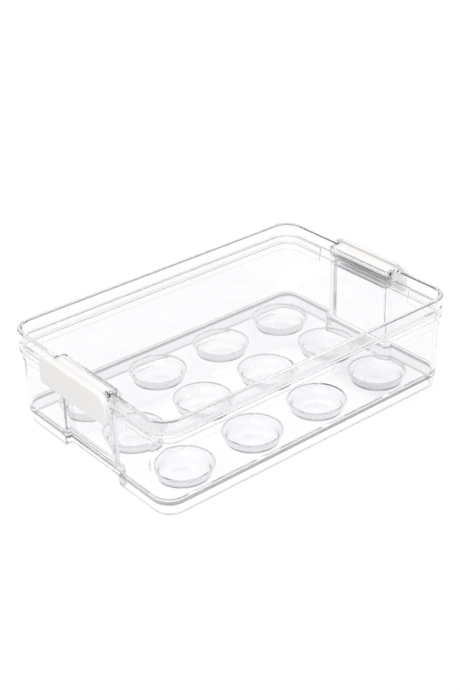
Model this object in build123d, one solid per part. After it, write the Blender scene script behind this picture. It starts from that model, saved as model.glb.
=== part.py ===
from build123d import *
from math import cos, radians, sin
import os

# Clear stackable egg keeper: bin with moulded egg cups, lift-off lid and two flip latches.
# +X runs along the keeper, +Z up. The origin is the centre of the underside of the foot.
# All sizes are in millimetres.

# Plan outline of the lid and of the bin's flange
LENGTH = 300.0
WIDTH = 201.0
CORNER_R = 19.1
TOP_Z = 85.0          # top of the stacking ring

# Bin
WALL_INSET = 2.8      # outer wall face, in from the outline
WALL_T = 2.3
RIM_T = 1.3           # thinner wall above the inner ledge
LEDGE_Z = 65.0        # inner ledge, and the catch that each latch hooks under
STEP_Z = 9.2          # underside of the walls, where the stacking foot begins
FLOOR_Z = 15.5
FLOOR_T = 2.2
FLANGE_H = 5.1
APRON_H = 7.6
APRON_T = 1.0
FLANGE_CUT_W = 109.0
FLANGE_END_R = 2.0
STEP_EDGE = 1.6
FOOT_EDGE = 0.9

# Recess of each end wall, and the foot's scoop below it
RECESS_W = 63.0
RECESS_D = 4.5
CATCH_T = 2.3
SCOOP_CORNER_R = 2.5

# Egg cups: their radius follows from the width, their spacing along X from the length
CUP_COLS = 4
CUP_ROWS = 3
CUP_END_GAP = 17.9    # floor between the outer cups and the end walls
CUP_SIDE_GAP = 10.9   # floor between the outer cups and the side walls
CUP_ROW_GAP = 14.0    # floor between two rows
CUP_DEPTH = 12.0
CUP_FLAT_R = 11.5     # flat bottom of a cup
CUP_STEPS = 3         # conical steps that round the cup from rim to bottom
CUP_UNDER_STEPS = 2   # the same on its underside
CUP_T = 2.4

# Lid
RING_W = 3.8
RING_DEPTH = 9.5      # ring top down to the panel
RING_EDGE = 0.7
PANEL_T = 2.0
SKIRT_T = 2.0
SKIRT_H = 2.0         # skirt below the panel's underside

# Latch pocket in each end of the lid, with its pivot bar
POCKET_W = 67.0
POCKET_WALL_T = 1.8
POCKET_TOP_DROP = 1.8
POCKET_CORNER_R = 2.8
BAR_R = 1.6
BAR_INSET = 5.0
BAR_DROP = 5.0

# Latch
LATCH_W = 88.0
LATCH_H = 25.2
LATCH_RISE = 1.2      # top of the face plate above the ring
LATCH_T = 2.2
LATCH_RIM_T = 2.0
LATCH_RIM_D = 2.0
LATCH_STANDOFF = 6.3  # outline to the inner side of the face plate
LATCH_TOP_R = 10.0
LATCH_BOTTOM_R = 4.0
LATCH_EDGE = 0.8
ARM_T = 2.1
BARREL_T = 1.5
SNAP_W = 2.6          # mouth of the barrel, narrower than the bar
HOOK_W = 56.0
HOOK_T = 2.0
HOOK_REACH = 1.5      # overlap of the hook under the catch
RIB_COUNT = 7
RIB_T = 1.0
RIB_D = 1.5
RIB_SPAN = 60.0

# Clearances
LID_GAP = 0.3         # flange under the skirt, and rim under the panel
STACK_GAP = 0.7       # foot inside the stacking ring of a keeper below
SCOOP_GAP = 0.2       # foot's scoop off the pocket of a keeper below
SCOOP_SIDE_GAP = 1.2
ARM_GAP = 0.8         # arm and barrel between the pocket's sides
BAR_GAP = 0.08        # running fit of the barrel on the bar, on the radius
BARREL_GAP = 0.6      # barrel off the back wall of the pocket
HOOK_GAP = 0.4        # hook under the catch

OVERCUT = 1.0         # how far a cutting tool runs past the face it opens

# Levels and faces that follow from the sizes above
INNER_INSET = WALL_INSET + WALL_T
CUP_FIELD_X = LENGTH - 2 * (INNER_INSET + CUP_END_GAP)
CUP_FIELD_Y = WIDTH - 2 * (INNER_INSET + CUP_SIDE_GAP)
CUP_R = (CUP_FIELD_Y - (CUP_ROWS - 1) * CUP_ROW_GAP) / (2 * CUP_ROWS)
CUP_PITCH_X = (CUP_FIELD_X - 2 * CUP_R) / (CUP_COLS - 1)
CUP_PITCH_Y = 2 * CUP_R + CUP_ROW_GAP
RIM_INNER_INSET = WALL_INSET + RIM_T
FOOT_INSET = RING_W + STACK_GAP
PANEL_Z = TOP_Z - RING_DEPTH
PANEL_BOTTOM_Z = PANEL_Z - PANEL_T
SKIRT_Z = PANEL_BOTTOM_Z - SKIRT_H
RIM_Z = PANEL_BOTTOM_Z - LID_GAP
FLANGE_TOP_Z = SKIRT_Z - LID_GAP
FLANGE_Z = FLANGE_TOP_Z - FLANGE_H
HALF_LENGTH = LENGTH / 2
WALL_X = HALF_LENGTH - WALL_INSET
BARREL_R = BAR_R + BAR_GAP + BARREL_T
POCKET_X = HALF_LENGTH - BAR_INSET - BARREL_R - BARREL_GAP
POCKET_OUTER_X = POCKET_X - POCKET_WALL_T
SCOOP_W = POCKET_W + 2 * (POCKET_WALL_T + SCOOP_SIDE_GAP)
SCOOP_D = HALF_LENGTH - FOOT_INSET - POCKET_OUTER_X + SCOOP_GAP
BAR_X = HALF_LENGTH - BAR_INSET
BAR_Z = TOP_Z - BAR_DROP
PLATE_X = HALF_LENGTH + LATCH_STANDOFF
LATCH_TOP_Z = TOP_Z + LATCH_RISE
ARM_Z = TOP_Z - POCKET_TOP_DROP
ARM_W = POCKET_W - 2 * ARM_GAP


def slab(inset, low, high):
    """Plate with the keeper's rounded outline, set in all round."""
    outline = RectangleRounded(LENGTH - 2 * inset, WIDTH - 2 * inset, CORNER_R - inset)
    return extrude(Pos(0, 0, low) * outline, high - low)


def block(x, y, z):
    """Box given by its (low, high) limits along each axis."""
    size = [limits[1] - limits[0] for limits in (x, y, z)]
    centre = [(limits[0] + limits[1]) / 2 for limits in (x, y, z)]
    return Pos(*centre) * Box(*size)


def across(low_x, high_x, width, low, high):
    """Box centred on the keeper's middle line, given its width along Y."""
    return block((low_x, high_x), (-width / 2, width / 2), (low, high))


def rounded_across(low_x, high_x, width, radius, low, high):
    """The same box with its upright corners rounded."""
    outline = RectangleRounded(high_x - low_x, width, radius)
    return extrude(Pos((low_x + high_x) / 2, 0, low) * outline, high - low)


def at_both_ends(solid):
    """The solid at the +X end and its twin at the -X end."""
    return [solid, Rot(0, 0, 180) * solid]


def foot_slab(inset, low, high):
    """Plate with the foot's outline: set in all round, with a rounded scoop at each end."""
    plate = slab(inset, low, high)
    grow = inset - FOOT_INSET
    scoop_x = HALF_LENGTH - FOOT_INSET - SCOOP_D - grow
    scoop_r = SCOOP_CORNER_R + grow
    far_x = HALF_LENGTH + SCOOP_CORNER_R + scoop_r
    for scoop in at_both_ends(rounded_across(scoop_x, far_x, SCOOP_W + 2 * grow, scoop_r, low, high)):
        plate -= scoop
    return plate


def cup_form(grow, steps):
    """Round egg cup hanging from the floor, thickened by grow and rounded in steps."""
    depth = CUP_DEPTH + grow
    curve = CUP_R + grow - CUP_FLAT_R
    points = [(0, 0)]
    for step in range(steps + 1):
        turn = radians(90 * step / steps)
        points.append((CUP_FLAT_R + curve * cos(turn), -depth * sin(turn)))
    points.append((0, -depth))
    section = make_face(Plane.XZ * Polyline(*points, close=True))
    return Pos(0, 0, FLOOR_Z) * revolve(section, Axis.Z)


def make_bin():
    """Bin: foot, walls, end recesses, flange, apron, rim, floor and egg cups."""
    foot = foot_slab(FOOT_INSET, 0, STEP_Z)
    foot = chamfer(foot.edges().group_by(Axis.Z)[0], FOOT_EDGE)
    walls = slab(WALL_INSET, STEP_Z, RIM_Z)
    walls = chamfer(walls.edges().group_by(Axis.Z)[0], STEP_EDGE)

    flange = slab(0, FLANGE_Z, FLANGE_TOP_Z)
    apron = slab(WALL_INSET - APRON_T, FLANGE_Z - APRON_H, FLANGE_Z)
    cut_low = FLANGE_Z - APRON_H - OVERCUT
    cut_high = FLANGE_TOP_Z + OVERCUT
    far_x = HALF_LENGTH + OVERCUT
    for cut in at_both_ends(across(WALL_X, far_x, FLANGE_CUT_W, cut_low, cut_high)):
        flange -= cut
        apron -= cut
    tips = flange.edges().filter_by(Axis.Z).filter_by(
        lambda edge: abs(edge.center().X) > HALF_LENGTH - OVERCUT
        and abs(edge.center().Y) < FLANGE_CUT_W / 2 + OVERCUT
    )
    flange = fillet(tips, FLANGE_END_R)

    body = foot + walls + flange + apron
    recess_x = WALL_X - RECESS_D
    for recess in at_both_ends(across(recess_x, far_x, RECESS_W, STEP_Z - OVERCUT, LEDGE_Z)):
        body -= recess

    cavity = slab(INNER_INSET, FLOOR_Z, LEDGE_Z) + slab(RIM_INNER_INSET, LEDGE_Z, RIM_Z + OVERCUT)
    bulge_w = RECESS_W + 2 * WALL_T
    for bulge in at_both_ends(across(recess_x - WALL_T, far_x, bulge_w, FLOOR_Z, LEDGE_Z + CATCH_T)):
        cavity -= bulge
    body -= cavity
    body -= foot_slab(FOOT_INSET + WALL_T, -OVERCUT, FLOOR_Z - FLOOR_T)

    places = GridLocations(CUP_PITCH_X, CUP_PITCH_Y, CUP_COLS, CUP_ROWS).locations
    for place in places:
        body += place * cup_form(CUP_T, CUP_UNDER_STEPS)
    for place in places:
        body -= place * cup_form(0, CUP_STEPS)
    return body


def make_lid():
    """Lid: sunk panel, stacking ring, skirt, latch pockets and pivot bars."""
    body = slab(0, SKIRT_Z, TOP_Z)
    body -= slab(RING_W, PANEL_Z, TOP_Z + OVERCUT)
    body -= slab(SKIRT_T, SKIRT_Z - OVERCUT, PANEL_BOTTOM_Z)
    body = chamfer(body.edges().group_by(Axis.Z)[-1], RING_EDGE)

    pocket_outer_w = POCKET_W + 2 * POCKET_WALL_T
    far_x = HALF_LENGTH + POCKET_CORNER_R + OVERCUT
    shell = rounded_across(POCKET_OUTER_X, far_x, pocket_outer_w, POCKET_CORNER_R, PANEL_Z, ARM_Z)
    shell &= slab(RING_W / 2, PANEL_Z, ARM_Z)
    inner_r = POCKET_CORNER_R - POCKET_WALL_T
    hollow = rounded_across(POCKET_X, far_x, POCKET_W, inner_r, PANEL_Z, TOP_Z + OVERCUT)
    bar_len = POCKET_W + POCKET_WALL_T
    bar = Pos(BAR_X, 0, BAR_Z) * Rot(90, 0, 0) * Cylinder(BAR_R, bar_len)
    for part in at_both_ends(shell):
        body += part
    for cut in at_both_ends(hollow):
        body -= cut
    for part in at_both_ends(bar):
        body += part
    return body


def latch_face(inset):
    """Outline of the latch's face, with large upper and small lower corners."""
    plane = Plane(origin=(0, 0, LATCH_TOP_Z - LATCH_H / 2), x_dir=(0, 1, 0), z_dir=(1, 0, 0))
    face = plane * Rectangle(LATCH_W - 2 * inset, LATCH_H - 2 * inset)
    face = fillet(face.vertices().group_by(Axis.Z)[-1], LATCH_TOP_R - inset)
    return fillet(face.vertices().group_by(Axis.Z)[0], LATCH_BOTTOM_R - inset)


def make_latch():
    """Latch of the +X end: face plate with rim, arm, open barrel, ribs and hook."""
    rim_x = PLATE_X - LATCH_RIM_D
    front_x = PLATE_X + LATCH_T
    latch = extrude(Pos(rim_x, 0, 0) * latch_face(0), front_x - rim_x, dir=(1, 0, 0))
    latch = chamfer(latch.faces().sort_by(Axis.X)[-1].edges(), LATCH_EDGE)
    hollow_x = rim_x - OVERCUT
    latch -= extrude(Pos(hollow_x, 0, 0) * latch_face(LATCH_RIM_T), PLATE_X - hollow_x, dir=(1, 0, 0))

    axle = Pos(BAR_X, 0, BAR_Z) * Rot(90, 0, 0)
    latch += across(BAR_X, PLATE_X, ARM_W, ARM_Z - ARM_T, ARM_Z)
    latch += axle * Cylinder(BARREL_R, ARM_W)
    latch -= axle * Cylinder(BAR_R + BAR_GAP, ARM_W)
    mouth_x = SNAP_W / 2
    latch -= across(BAR_X - mouth_x, BAR_X + mouth_x, ARM_W, BAR_Z - BARREL_R - OVERCUT, BAR_Z)

    hook_top = LEDGE_Z - HOOK_GAP
    hook_low = hook_top - HOOK_T
    latch += across(WALL_X - HOOK_REACH, PLATE_X, HOOK_W, hook_low, hook_top)
    pitch = RIB_SPAN / (RIB_COUNT - 1)
    for index in range(RIB_COUNT):
        y = index * pitch - RIB_SPAN / 2
        rib_y = (y - RIB_T / 2, y + RIB_T / 2)
        latch += block((PLATE_X - RIB_D, PLATE_X), rib_y, (hook_low, ARM_Z - ARM_T))
    return latch


latch_right = make_latch()
nodes = {
    "bin": make_bin(),
    "lid": make_lid(),
    "latch_right": latch_right,
    "latch_left": Rot(0, 0, 180) * latch_right,
}

os.makedirs("parts", exist_ok=True)
for name, solid in nodes.items():
    export_step(solid, f"parts/{name}.step")
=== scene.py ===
import math
import bpy
from mathutils import Euler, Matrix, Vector

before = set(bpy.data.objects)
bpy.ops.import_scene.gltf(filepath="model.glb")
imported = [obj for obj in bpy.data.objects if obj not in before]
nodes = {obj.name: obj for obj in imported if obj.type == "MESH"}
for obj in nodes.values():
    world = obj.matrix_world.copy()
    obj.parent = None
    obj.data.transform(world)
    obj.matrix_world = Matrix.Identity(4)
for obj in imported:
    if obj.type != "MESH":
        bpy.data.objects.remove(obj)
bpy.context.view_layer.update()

# Lengths and heights are in metres, and colours are linear RGB.

# Camera at the photograph's angle; it is turned in degrees
CAMERA_AT = (-0.60895, -0.74711, 0.60180)
CAMERA_TURN = (60.2835, 1.4023, -39.7794)
FOCAL_PX = 1355.29
FRAME_PX = 690
SENSOR_MM = 36.0

# Rounding of the moulded edges, and the angle from which shading breaks
MOULD_ROUND = 0.00035
LATCH_ROUND = 0.0005
ROUND_SEGMENTS = 2
ROUND_ANGLE = math.radians(40)
SHARP_ANGLE = math.radians(52)
JOIN_DISTANCE = 0.000002
AREA_WEIGHT = 100

# Clear plastic: the tint of its faces, and the painted shade on its edges with the width over which it shows
PLASTIC_IOR = 1.46
BIN_FACE = (0.976, 0.976, 0.985)
BIN_EDGE_SHADE = (0.34, 0.34, 0.36)
BIN_EDGE_WIDTH = 0.0009
LID_FACE = (0.988, 0.988, 0.993)
LID_EDGE_SHADE = (0.45, 0.45, 0.47)
LID_EDGE_WIDTH = 0.0010
EDGE_SAMPLES = 6
EDGE_GAIN = 8.0

# Painted shade on faces seen at a glancing angle
GRAZING_BLEND = 0.18
GRAZING_POWER = 3.0
BIN_GRAZING = 0.6
LID_GRAZING = 0.25

# How strongly the painted edge shade shows at each height, (height, strength): the base step and the ring
# show most
RAMP_TOP = 0.09
BIN_EDGES = ((0.0, 0.60), (0.0068, 0.60), (0.0080, 1.0), (0.0118, 1.0), (0.0135, 0.16), (0.0175, 0.16),
             (0.0210, 0.6), (0.0600, 0.6), (0.0640, 0.45))
LID_EDGES = ((0.0, 0.14), (0.0775, 0.14), (0.0820, 0.6))

# Strips painted dark as lines of shade, (from height, to height, strength), except on level faces
BIN_BANDS = ((0.0103, 0.0121, 0.9), (-0.0010, 0.0018, 0.35))
LID_BANDS = ((0.0839, 0.0860, 0.85),)
BAND_SHADE = (0.10, 0.10, 0.11)
LEVEL_NORMAL_Z = 0.96

# Where the cups are: half the grid's pitch, how far the grid reaches, and the space each cup takes,
# which is a wide circle under the floor and a narrower one in it
CUP_HALF_PITCH = (0.0345, 0.0305)
CUP_REACH = (0.1310, 0.0885)
CUP_UNDER_FLOOR = 0.0262
CUP_IN_FLOOR = 0.0239
CUP_TOP = 0.0160
FLOOR_UNDERSIDE = 0.0132

# Cups: painted shade on their walls, and a painted shade line low on the outer skin, where that turns away
# from the eye
CUP_SHADE = (0.94, 0.94, 0.952)
CUP_SHADE_LINE = (0.02, 0.02, 0.025)
CUP_LINE_FROM = 0.0096
CUP_LINE_FULL = 0.0065
CUP_LINE_RADIUS = 0.0214
CUP_LINE_BLEND = 0.5
CUP_LINE_TURNED = (0.15, 0.5)

# Light inside the plastic: past this ray depth it leaves dimmed, and lamps pass through to the floor
TRAPPED_DEPTH = 5.5
TRAPPED_TINT = (0.85, 0.85, 0.857)
TRAPPED_IN_CUP = (0.95, 0.95, 0.955)
SHADOW_TINT = (0.975, 0.975, 0.98)

# Faint flow marks in the clear plastic
FLOW_SCALE = 9.0
FLOW_DETAIL = 2.0
FLOW_ROUGHNESS = 0.05
FLOW_BUMP = 0.04
FLOW_DEPTH = 0.0004

# White plastic of the latches: a clouded colour and a very fine grain
WHITE_IOR = 1.49
WHITE_LOW = (0.915, 0.905, 0.892)
WHITE_HIGH = (0.945, 0.935, 0.922)
CLOUD_SCALE = 28.0
CLOUD_DETAIL = 2.0
GRAIN_SCALE = 1400.0
GRAIN_DETAIL = 3.0
GRAIN_ROUGHNESS = 0.12
LEAST_ROUGHNESS = 0.34
GRAIN_BUMP = 0.12
GRAIN_DEPTH = 0.00005

# Floor, and the glow that makes it look white: one strength near the object and another far away
WHITE = (1, 1, 1)
FLOOR_COLOUR = (0.5, 0.5, 0.5)
FLOOR_SIZE = 12.0
FLOOR_DROP = 0.0002
NEAR_GLOW = 0.535
FAR_GLOW = 0.635
GLOW_NEAR_TO = 0.4
GLOW_FAR_FROM = 2.2

# Strength of the surroundings as a light; seen directly they are at full strength
SURROUND = 0.75

# Lamps: name, place, aim, width and height, watts
LAMPS = (("key", (0.7, 0.9, 1.5), (0, 0, 0.03), (1.2, 0.9), 3.5),
         ("fill", (-1.2, -0.9, 0.9), (0, 0, 0.03), (1.0, 1.0), 10),
         ("window", (0.95, -0.90, 1.13), (0, 0, 0.01), (0.22, 0.45), 2.2))

# Sockets of a Mix node that mixes colours, which share their names with others
MIX_FACTOR, MIX_LOW, MIX_HIGH, MIX_RESULT = 0, 6, 7, 2


def cleared_tree(owner):
    """Node tree of a material or a world, without its first nodes."""
    owner.use_nodes = True
    owner.node_tree.nodes.clear()
    return owner.node_tree


def put(tree, socket, value):
    """Links a value to an input socket, or sets a number, a text, a vector or a colour there."""
    if isinstance(value, bpy.types.NodeSocket):
        tree.links.new(value, socket)
    elif socket.type == "RGBA":
        socket.default_value = (*value, 1)
    else:
        socket.default_value = value


def add(tree, kind, **values):
    """Adds a node. Small letters name its properties, a capital its input sockets, with _ for a space."""
    node = tree.nodes.new(kind)
    for key, value in values.items():
        if key[0].isupper():
            put(tree, node.inputs[key.replace("_", " ")], value)
        else:
            setattr(node, key, value)
    return node


def maths(tree, operation, *values, clamp=False):
    """Math node on links or numbers."""
    node = add(tree, "ShaderNodeMath", operation=operation, use_clamp=clamp)
    for socket, value in zip(node.inputs, values):
        put(tree, socket, value)
    return node.outputs[0]


def vector_maths(tree, operation, *values):
    """Vector math node on links or vectors; gives its outputs, Vector and Value."""
    node = add(tree, "ShaderNodeVectorMath", operation=operation)
    for socket, value in zip(node.inputs, values):
        put(tree, socket, value)
    return node.outputs


def split(tree, vector):
    """X, Y and Z of a linked vector."""
    return add(tree, "ShaderNodeSeparateXYZ", Vector=vector).outputs


def mix_colour(tree, factor, low, high):
    """Colour that goes from low to high with factor."""
    node = add(tree, "ShaderNodeMix", data_type="RGBA")
    for index, value in ((MIX_FACTOR, factor), (MIX_LOW, low), (MIX_HIGH, high)):
        put(tree, node.inputs[index], value)
    return node.outputs[MIX_RESULT]


def mix_shader(tree, factor, low, high):
    """Shader that goes from low to high with factor."""
    node = add(tree, "ShaderNodeMixShader")
    for socket, link in zip(node.inputs, (factor, low, high)):
        put(tree, socket, link)
    return node.outputs[0]


def by_height(tree, height, levels):
    """Value that follows the height: levels is a list of (height, value)."""
    ramp = add(tree, "ShaderNodeValToRGB", Fac=maths(tree, "DIVIDE", height, RAMP_TOP))
    stops = ramp.color_ramp.elements
    while len(stops) < len(levels):
        stops.new(0.5)
    for stop, (level, value) in zip(stops, levels):
        stop.position = level / RAMP_TOP
        stop.color = (value, value, value, 1)
    return ramp.outputs[0]


def cup_zone(tree, place):
    """1 on the walls of the cups and 0 elsewhere, and the distance from the axis of the nearest cup."""
    half_x, half_y = CUP_HALF_PITCH
    shifted = vector_maths(tree, "SUBTRACT", place, (half_x, 0, 0))
    cell = vector_maths(tree, "WRAP", shifted["Vector"], (half_x, half_y, 1), (-half_x, -half_y, -1))
    flat = vector_maths(tree, "MULTIPLY", cell["Vector"], (1, 1, 0))
    radius = vector_maths(tree, "LENGTH", flat["Vector"])["Value"]
    at = split(tree, place)
    in_floor = maths(tree, "GREATER_THAN", at["Z"], FLOOR_UNDERSIDE)
    edge = maths(tree, "MULTIPLY_ADD", in_floor, CUP_IN_FLOOR - CUP_UNDER_FLOOR, CUP_UNDER_FLOOR)
    zone = maths(tree, "LESS_THAN", radius, edge)
    zone = maths(tree, "MULTIPLY", zone, maths(tree, "LESS_THAN", at["Z"], CUP_TOP))
    for axis, reach in zip("XY", CUP_REACH):
        away = maths(tree, "ABSOLUTE", at[axis])
        zone = maths(tree, "MULTIPLY", zone, maths(tree, "LESS_THAN", away, reach))
    return zone, radius


def edge_shade_zone(tree, height, width, levels):
    """Where painted edge shade goes: how far the surface turns near the point, weighted by height: 0 on a
    face, up to 1 on an edge.
    """
    rounded = add(tree, "ShaderNodeBevel", samples=EDGE_SAMPLES, Radius=width)
    geometry = add(tree, "ShaderNodeNewGeometry")
    dot = vector_maths(tree, "DOT_PRODUCT", rounded.outputs[0], geometry.outputs["Normal"])
    turned = maths(tree, "SUBTRACT", 1.0, dot["Value"])
    on_edge_shade = maths(tree, "MULTIPLY", turned, EDGE_GAIN, clamp=True)
    return maths(tree, "MULTIPLY", on_edge_shade, by_height(tree, height, levels))


def grazing_shade_zone(tree, amount):
    """How much painted shade a face takes as it is seen at a glancing angle."""
    facing = add(tree, "ShaderNodeLayerWeight", Blend=GRAZING_BLEND).outputs["Facing"]
    return maths(tree, "MULTIPLY", maths(tree, "POWER", facing, GRAZING_POWER), amount)


def cup_shade_line_zone(tree, height, radius):
    """How much the painted shade line shows at a point of a cup: low on its outer skin, where that turns
    away.
    """
    least, most = CUP_LINE_TURNED
    facing = add(tree, "ShaderNodeLayerWeight", Blend=CUP_LINE_BLEND).outputs["Facing"]
    turned = add(tree, "ShaderNodeMapRange", Value=facing, From_Min=least, From_Max=most)
    low = add(tree, "ShaderNodeMapRange", Value=height, From_Min=CUP_LINE_FROM, From_Max=CUP_LINE_FULL)
    outer_skin = maths(tree, "GREATER_THAN", radius, CUP_LINE_RADIUS)
    return maths(tree, "MULTIPLY", maths(tree, "MULTIPLY", turned.outputs[0], low.outputs[0]), outer_skin)


def shade_band_zone(tree, height, normal, bands):
    """How much the point lies on one of the painted shade strips, level faces apart."""
    upright = maths(tree, "ABSOLUTE", split(tree, normal)["Z"])
    sloped = maths(tree, "LESS_THAN", upright, LEVEL_NORMAL_Z)
    total = 0.0
    for low, high, strength in bands:
        above = maths(tree, "GREATER_THAN", height, low)
        below = maths(tree, "LESS_THAN", height, high)
        here = maths(tree, "MULTIPLY", maths(tree, "MULTIPLY", above, below), strength)
        total = maths(tree, "MAXIMUM", here, total)
    return maths(tree, "MULTIPLY", total, sloped)


def clear_plastic(name, face, edge, edge_width, edge_levels, bands, grazing):
    """Clear moulded plastic: faint tint on its faces, and painted shade where light runs along an edge, at
    glancing angles, on strips and in the cups.
    """
    material = bpy.data.materials.new(name)
    tree = cleared_tree(material)
    coords = add(tree, "ShaderNodeTexCoord").outputs
    height = split(tree, coords["Object"])["Z"]
    cups, radius = cup_zone(tree, coords["Object"])
    outside = maths(tree, "SUBTRACT", 1.0, cups)

    # Each zone of painted shade takes the colour towards its own: the cups get painted shade on their walls
    # and a painted shade line of their own in place of the others
    on_edge_shade = maths(tree, "MULTIPLY", edge_shade_zone(tree, height, edge_width, edge_levels), outside)
    glancing_shade = maths(tree, "MULTIPLY", grazing_shade_zone(tree, grazing), outside)
    on_shade_line = maths(tree, "MULTIPLY", cup_shade_line_zone(tree, height, radius), cups)
    on_shade_band = maths(tree, "MULTIPLY", shade_band_zone(tree, height, coords["Normal"], bands), outside)
    colour = mix_colour(tree, cups, face, CUP_SHADE)
    colour = mix_colour(tree, maths(tree, "MAXIMUM", on_edge_shade, glancing_shade, clamp=True), colour, edge)
    colour = mix_colour(tree, on_shade_line, colour, CUP_SHADE_LINE)
    colour = mix_colour(tree, on_shade_band, colour, BAND_SHADE)

    flow = add(tree, "ShaderNodeTexNoise", Vector=coords["Object"], Scale=FLOW_SCALE, Detail=FLOW_DETAIL)
    rough = maths(tree, "MULTIPLY", flow.outputs["Fac"], FLOW_ROUGHNESS)
    bump = add(tree, "ShaderNodeBump", Height=flow.outputs["Fac"], Strength=FLOW_BUMP, Distance=FLOW_DEPTH)
    shell = add(tree, "ShaderNodeBsdfPrincipled", IOR=PLASTIC_IOR, Transmission_Weight=1.0,
                Base_Color=colour, Roughness=rough, Normal=bump.outputs[0])

    # Light trapped inside the plastic leaves it dimmed, and lamps shine through it to the floor
    leaving = add(tree, "ShaderNodeBsdfTransparent",
                  Color=mix_colour(tree, cups, TRAPPED_TINT, TRAPPED_IN_CUP))
    lit_through = add(tree, "ShaderNodeBsdfTransparent", Color=SHADOW_TINT)
    path = add(tree, "ShaderNodeLightPath").outputs
    trapped = maths(tree, "GREATER_THAN", path["Ray Depth"], TRAPPED_DEPTH)
    body = mix_shader(tree, trapped, shell.outputs[0], leaving.outputs[0])
    whole = mix_shader(tree, path["Is Shadow Ray"], body, lit_through.outputs[0])
    add(tree, "ShaderNodeOutputMaterial", Surface=whole)
    return material


def white_plastic(name):
    """Warm white moulded plastic with a very fine surface texture."""
    material = bpy.data.materials.new(name)
    tree = cleared_tree(material)
    place = add(tree, "ShaderNodeTexCoord").outputs["Object"]
    cloud = add(tree, "ShaderNodeTexNoise", Vector=place, Scale=CLOUD_SCALE, Detail=CLOUD_DETAIL)
    grain = add(tree, "ShaderNodeTexNoise", Vector=place, Scale=GRAIN_SCALE, Detail=GRAIN_DETAIL)
    colour = mix_colour(tree, cloud.outputs["Fac"], WHITE_LOW, WHITE_HIGH)
    rough = maths(tree, "MULTIPLY_ADD", grain.outputs["Fac"], GRAIN_ROUGHNESS, LEAST_ROUGHNESS)
    bump = add(tree, "ShaderNodeBump", Height=grain.outputs["Fac"], Strength=GRAIN_BUMP, Distance=GRAIN_DEPTH)
    shell = add(tree, "ShaderNodeBsdfPrincipled", IOR=WHITE_IOR,
                Base_Color=colour, Roughness=rough, Normal=bump.outputs[0])
    add(tree, "ShaderNodeOutputMaterial", Surface=shell.outputs[0])
    return material


def smoothing_nodes():
    """Geometry nodes that shade smoothly across everything but real edges."""
    group = bpy.data.node_groups.new("smooth_faces", "GeometryNodeTree")
    for side in ("INPUT", "OUTPUT"):
        group.interface.new_socket("Geometry", in_out=side, socket_type="NodeSocketGeometry")
    start = add(group, "NodeGroupInput")
    end = add(group, "NodeGroupOutput")
    plain = add(group, "GeometryNodeRemoveAttribute", Name="custom_normal")
    faces = add(group, "GeometryNodeSetShadeSmooth", domain="FACE")
    soft = add(group, "GeometryNodeSetShadeSmooth", domain="EDGE")
    angle = add(group, "GeometryNodeInputMeshEdgeAngle").outputs["Unsigned Angle"]
    hard = add(group, "GeometryNodeSetShadeSmooth", domain="EDGE", Shade_Smooth=False,
               Selection=maths(group, "GREATER_THAN", angle, SHARP_ANGLE))
    chain = (start, plain, faces, soft, hard, end)
    for before, after in zip(chain, chain[1:]):
        group.links.new(before.outputs[0], after.inputs[0])
    return group


def dress(name, material, radius):
    """Gives a CAD node its material and softly rounded moulded edges."""
    node = nodes[name]
    for slot in node.material_slots:
        slot.material = material
    joined = node.modifiers.new("join_faces", "WELD")
    joined.merge_threshold = JOIN_DISTANCE
    rounding = node.modifiers.new("mould_round", "BEVEL")
    rounding.width = radius
    rounding.segments = ROUND_SEGMENTS
    rounding.limit_method = "ANGLE"
    rounding.angle_limit = ROUND_ANGLE
    smooth = node.modifiers.new("smooth_faces", "NODES")
    smooth.node_group = smooth_faces
    even = node.modifiers.new("even_normals", "WEIGHTED_NORMAL")
    even.mode = "FACE_AREA"
    even.weight = AREA_WEIGHT
    even.keep_sharp = True


def seen_directly(tree):
    """1 for rays from the camera, from a mirror-like surface or through clear plastic."""
    path = add(tree, "ShaderNodeLightPath").outputs
    direct = maths(tree, "MAXIMUM", path["Is Camera Ray"], path["Is Glossy Ray"])
    return maths(tree, "MAXIMUM", direct, path["Is Transmission Ray"])


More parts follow.
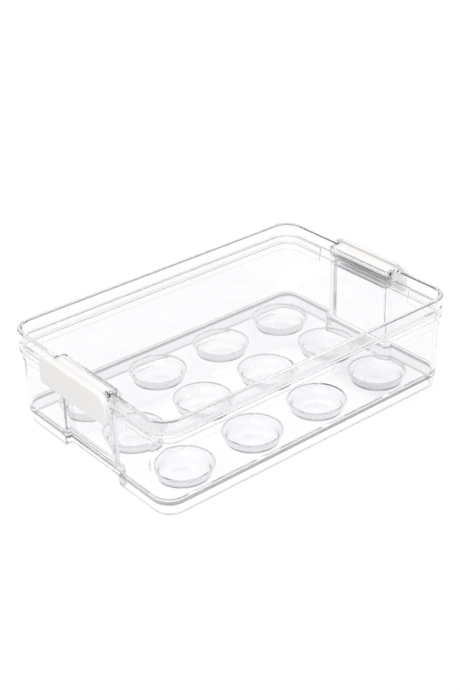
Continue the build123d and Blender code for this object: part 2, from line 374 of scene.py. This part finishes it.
def make_floor():
    """Pale floor that stays white to the eye and keeps the object's soft shadow."""
    bpy.ops.mesh.primitive_plane_add(size=FLOOR_SIZE, location=(0, 0, -FLOOR_DROP))
    floor = bpy.context.object
    floor.name = "floor"
    material = bpy.data.materials.new("pale_floor")
    tree = cleared_tree(material)
    place = add(tree, "ShaderNodeTexCoord").outputs["Object"]
    level = add(tree, "ShaderNodeMapRange", interpolation_type="SMOOTHSTEP",
                Value=vector_maths(tree, "LENGTH", place)["Value"],
                From_Min=GLOW_NEAR_TO, From_Max=GLOW_FAR_FROM, To_Min=NEAR_GLOW, To_Max=FAR_GLOW)
    strength = maths(tree, "MULTIPLY", seen_directly(tree), level.outputs[0])
    diffuse = add(tree, "ShaderNodeBsdfDiffuse", Color=FLOOR_COLOUR)
    glow = add(tree, "ShaderNodeEmission", Color=WHITE, Strength=strength)
    both = add(tree, "ShaderNodeAddShader")
    for socket, shader in zip(both.inputs, (diffuse, glow)):
        put(tree, socket, shader.outputs[0])
    add(tree, "ShaderNodeOutputMaterial", Surface=both.outputs[0])
    floor.data.materials.append(material)


def make_world():
    """White surroundings, the same seen directly and through the plastic."""
    world = bpy.data.worlds.new("studio")
    bpy.context.scene.world = world
    tree = cleared_tree(world)
    strength = maths(tree, "MULTIPLY_ADD", seen_directly(tree), 1 - SURROUND, SURROUND)
    back = add(tree, "ShaderNodeBackground", Color=WHITE, Strength=strength)
    add(tree, "ShaderNodeOutputWorld", Surface=back.outputs[0])


def area_light(name, at, aim, size, power):
    """Rectangular lamp that points from its place at the aim."""
    light = bpy.data.lights.new(name, "AREA")
    light.shape = "RECTANGLE"
    light.size, light.size_y = size
    light.energy = power
    lamp = bpy.data.objects.new(name, light)
    bpy.context.collection.objects.link(lamp)
    lamp.location = at
    lamp.rotation_euler = (Vector(aim) - Vector(at)).to_track_quat("-Z", "Y").to_euler()


def make_camera():
    """Camera at the photograph's angle."""
    camera = bpy.data.objects.new("camera", bpy.data.cameras.new("camera"))
    bpy.context.collection.objects.link(camera)
    camera.location = CAMERA_AT
    camera.rotation_euler = Euler([math.radians(turn) for turn in CAMERA_TURN], "XYZ")
    camera.data.sensor_width = SENSOR_MM
    camera.data.lens = FOCAL_PX / FRAME_PX * SENSOR_MM
    bpy.context.scene.camera = camera


smooth_faces = smoothing_nodes()
clear_bin = clear_plastic("clear_bin", BIN_FACE, BIN_EDGE_SHADE, BIN_EDGE_WIDTH, BIN_EDGES, BIN_BANDS, BIN_GRAZING)
clear_lid = clear_plastic("clear_lid", LID_FACE, LID_EDGE_SHADE, LID_EDGE_WIDTH, LID_EDGES, LID_BANDS, LID_GRAZING)
latch_white = white_plastic("latch_white")
dress("bin", clear_bin, MOULD_ROUND)
dress("lid", clear_lid, MOULD_ROUND)
dress("latch_left", latch_white, LATCH_ROUND)
dress("latch_right", latch_white, LATCH_ROUND)

make_floor()
make_world()
for lamp in LAMPS:
    area_light(*lamp)
make_camera()
bpy.context.scene.view_settings.view_transform = "Standard"
